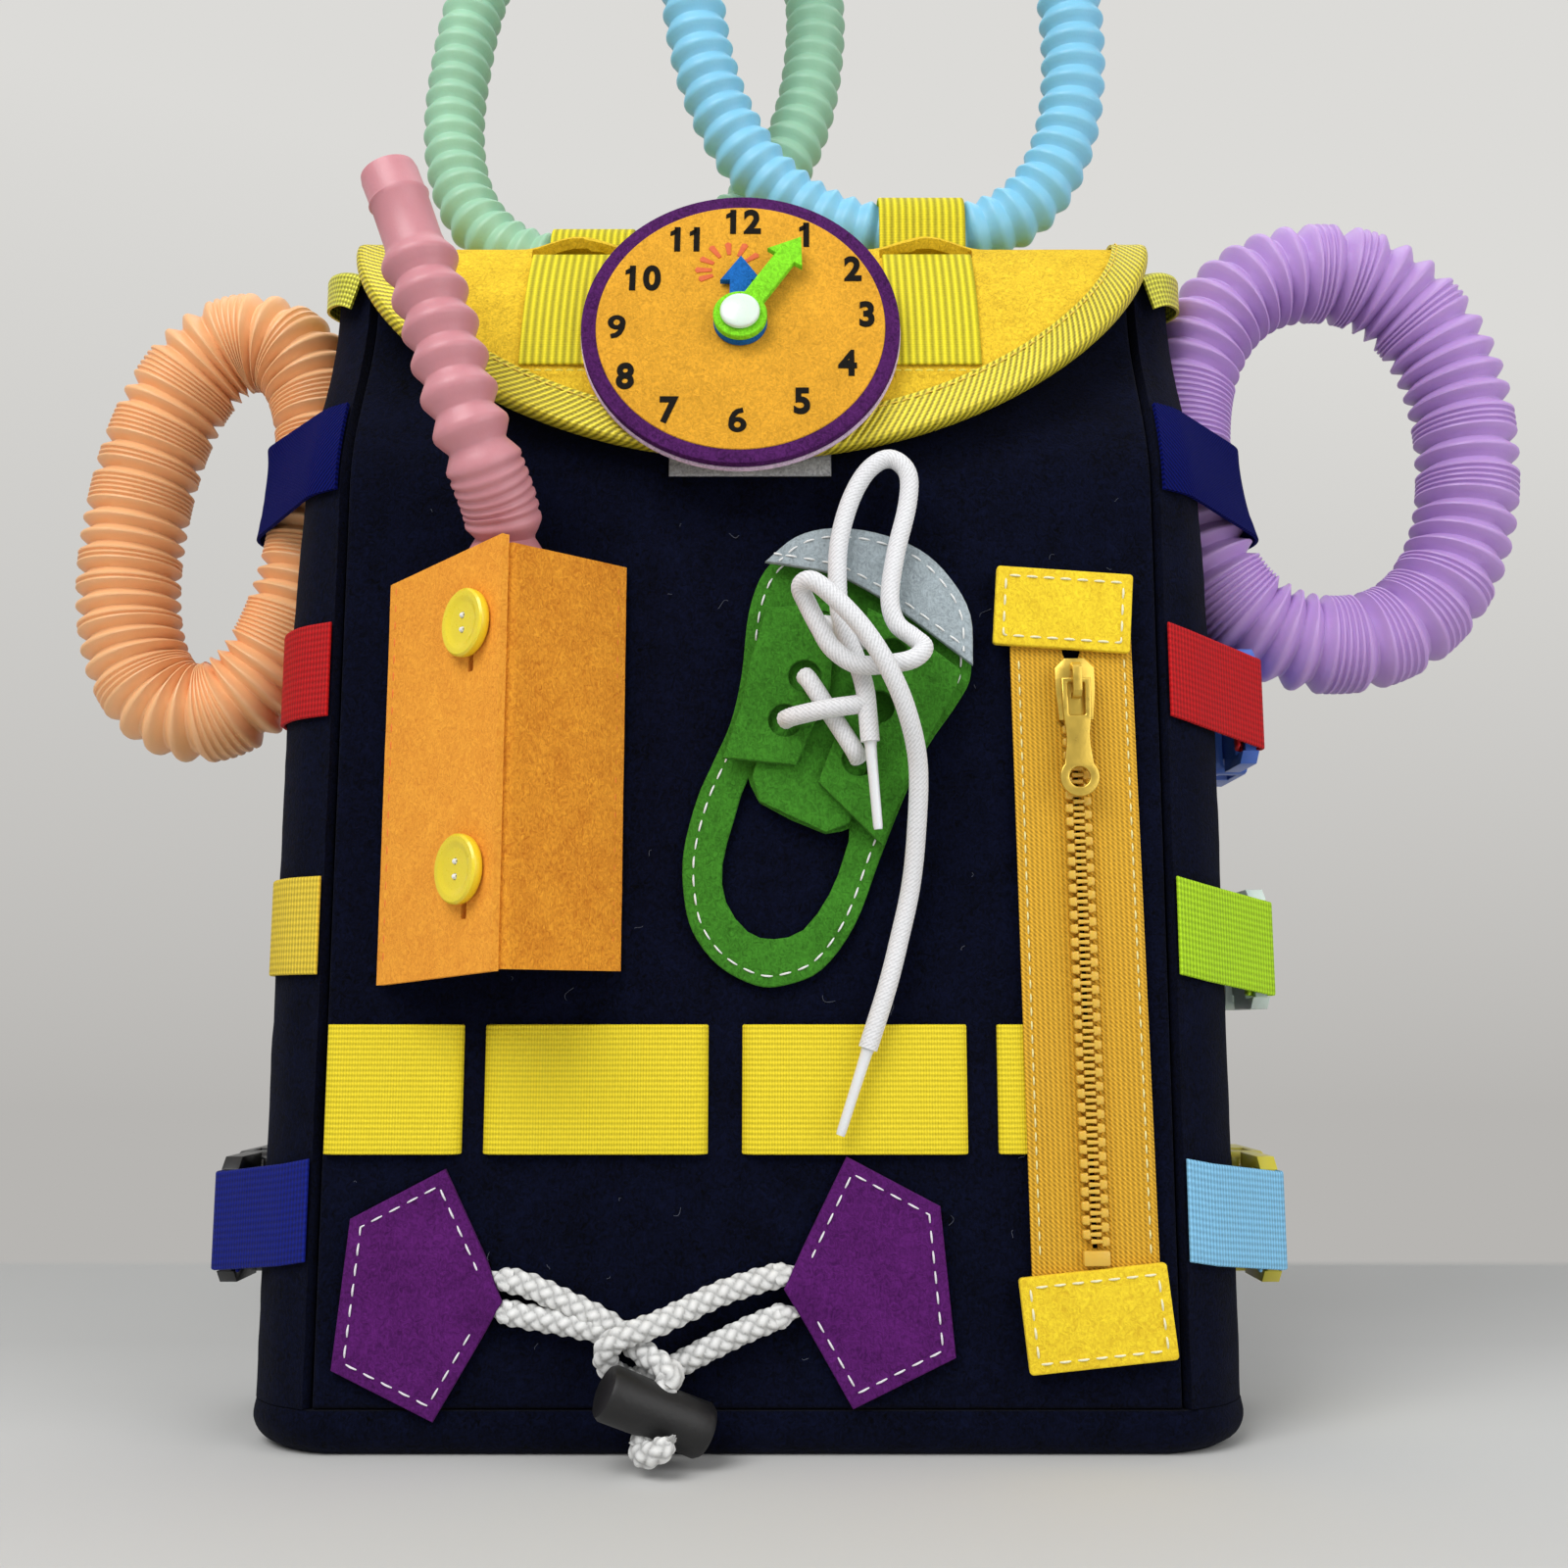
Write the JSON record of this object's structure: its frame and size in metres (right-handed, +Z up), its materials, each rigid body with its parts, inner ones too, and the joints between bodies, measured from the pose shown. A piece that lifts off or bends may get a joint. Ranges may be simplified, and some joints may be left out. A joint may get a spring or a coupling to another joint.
{
  "type": "busy board backpack",
  "caption": "Small felt backpack that is a busy board: a front flap with a clock, pop tube loops, a zipper, a laced shoe, a buttoned pocket, side buckles and a toggle.",
  "frame": {"origin": "middle of the flat bottom of the bag", "axes": "+Z up, -Y out of the bag's front, +X to the right of someone who looks at the front"},
  "size_m": [0.4246, 0.1656, 0.4893],
  "materials": {
    "navy_felt": "felt",
    "yellow_felt": "felt",
    "gold_webbing": "woven",
    "lemon_elastic": "woven",
    "grey_fastener": "woven",
    "clock_felt": "felt",
    "blue_felt": "felt",
    "lime_felt": "felt",
    "cap_plastic": "smooth",
    "mint_plastic": "smooth",
    "sky_plastic": "smooth",
    "pink_plastic": "smooth",
    "peach_plastic": "smooth",
    "purple_plastic": "smooth",
    "royal_elastic": "woven",
    "red_webbing": "woven",
    "blue_webbing": "woven",
    "lime_webbing": "woven",
    "sky_webbing": "woven",
    "black_plastic": "smooth",
    "blue_plastic": "smooth",
    "white_plastic": "smooth",
    "yellow_plastic": "smooth",
    "zip_tape": "woven",
    "zip_teeth": "smooth",
    "slider_metal": "smooth",
    "orange_felt": "felt",
    "button_plastic": "smooth",
    "green_felt": "felt",
    "toe_felt": "felt",
    "white_cord": "woven",
    "purple_felt": "felt",
    "black_webbing": "woven",
    "toggle_plastic": "smooth"
  },
  "bodies": {
    "bag": {"front_panel": "navy_felt", "back_panel": "navy_felt", "gusset": "navy_felt", "closure_loop_patch": "grey_fastener", "pencil_elastic": "lemon_elastic", "zipper_tape": "zip_tape", "zipper_chain": "zip_teeth", "zipper_top_patch": "yellow_felt", "zipper_bottom_patch": "yellow_felt", "pocket_left_flap": "orange_felt", "pocket_right_flap": "orange_felt", "pocket_upper_button": "button_plastic", "pocket_lower_button": "button_plastic", "shoe_upper": "green_felt", "shoe_toe_cap": "toe_felt", "shoe_tongue": "green_felt", "shoe_left_eyestay": "green_felt", "shoe_right_eyestay": "green_felt", "shoelace": "white_cord", "left_rope_patch": "purple_felt", "right_rope_patch": "purple_felt", "rope_left": "white_cord", "rope_right": "white_cord", "toggle": "toggle_plastic", "left_ring_elastic": "royal_elastic", "right_ring_elastic": "royal_elastic", "red_belt": "red_webbing", "yellow_belt": "gold_webbing", "blue_belt": "blue_webbing", "left_blue_strap": "blue_webbing", "right_red_strap": "red_webbing", "right_lime_strap": "lime_webbing", "right_sky_strap": "sky_webbing", "black_buckle_female": "black_plastic", "blue_buckle_female": "blue_plastic", "white_buckle_female": "white_plastic", "yellow_buckle_female": "yellow_plastic", "left_shoulder_strap": "navy_felt", "right_shoulder_strap": "navy_felt", "grab_handle": "black_webbing"},
    "flap": {"flap": "yellow_felt", "flap_binding": "gold_webbing", "left_flap_elastic": "lemon_elastic", "right_flap_elastic": "lemon_elastic", "green_tube": "mint_plastic", "blue_tube": "sky_plastic", "clock_face": "clock_felt", "clock_pin": "cap_plastic", "closure_hook_patch": "grey_fastener"},
    "hour_hand": {"hour_hand": "blue_felt"},
    "minute_hand": {"minute_hand": "lime_felt"},
    "slider": {"zipper_slider": "slider_metal"},
    "pull": {"zipper_pull": "slider_metal"},
    "black_male": {"black_buckle_male": "black_plastic"},
    "blue_male": {"blue_buckle_male": "blue_plastic"},
    "white_male": {"white_buckle_male": "white_plastic"},
    "yellow_male": {"yellow_buckle_male": "yellow_plastic"},
    "pink_tube": {"pink_tube": "pink_plastic"},
    "purple_ring": {"purple_tube": "purple_plastic"},
    "peach_ring": {"peach_tube": "peach_plastic"}
  },
  "joints": [
    {"name": "flap_hinge", "type": "hinge", "parent": "bag", "child": "flap", "pos_m": [0, 0.045, 0.31315], "axis": [-1, 0, 0], "range_deg": [0, 110]},
    {"name": "hour_hand_turn", "type": "hinge", "parent": "flap", "child": "hour_hand", "pos_m": [-0.0025, -0.0484, 0.286], "axis": [0, 0.9763, -0.2164], "continuous": true},
    {"name": "minute_hand_turn", "type": "hinge", "parent": "flap", "child": "minute_hand", "pos_m": [-0.0025, -0.0484, 0.286], "axis": [0, 0.9763, -0.2164], "continuous": true},
    {"name": "zipper_slide", "type": "slide", "parent": "bag", "child": "slider", "axis": [0.0141, 0, -0.9999], "range_m": [0, 0.126]},
    {"name": "pull_swing", "type": "hinge", "parent": "slider", "child": "pull", "pos_m": [0.0836, -0.0526, 0.191], "axis": [-0.9999, 0, -0.0141], "range_deg": [0, 160]},
    {"name": "pink_tube_slide", "type": "slide", "parent": "bag", "child": "pink_tube", "axis": [0, 0, 1], "range_m": [0, 0.028]},
    {"name": "purple_ring_swing", "type": "hinge", "parent": "bag", "child": "purple_ring", "pos_m": [0.1271, 0.0045, 0.2575], "axis": [0, 0, 1], "range_deg": [-15, 15]},
    {"name": "peach_ring_swing", "type": "hinge", "parent": "bag", "child": "peach_ring", "pos_m": [-0.1271, 0.0045, 0.2575], "axis": [0, 0, 1], "range_deg": [-15, 15]},
    {"name": "black_buckle_release", "type": "slide", "parent": "bag", "child": "black_male", "axis": [0, -1, 0], "range_m": [0, 0.022], "deforming": ["left_blue_strap"]},
    {"name": "blue_buckle_release", "type": "slide", "parent": "bag", "child": "blue_male", "axis": [0, -1, 0], "range_m": [0, 0.022], "deforming": ["right_red_strap"]},
    {"name": "white_buckle_release", "type": "slide", "parent": "bag", "child": "white_male", "axis": [0, -1, 0], "range_m": [0, 0.022], "deforming": ["right_lime_strap"]},
    {"name": "yellow_buckle_release", "type": "slide", "parent": "bag", "child": "yellow_male", "axis": [0, -1, 0], "range_m": [0, 0.022], "deforming": ["right_sky_strap"]}
  ]
}
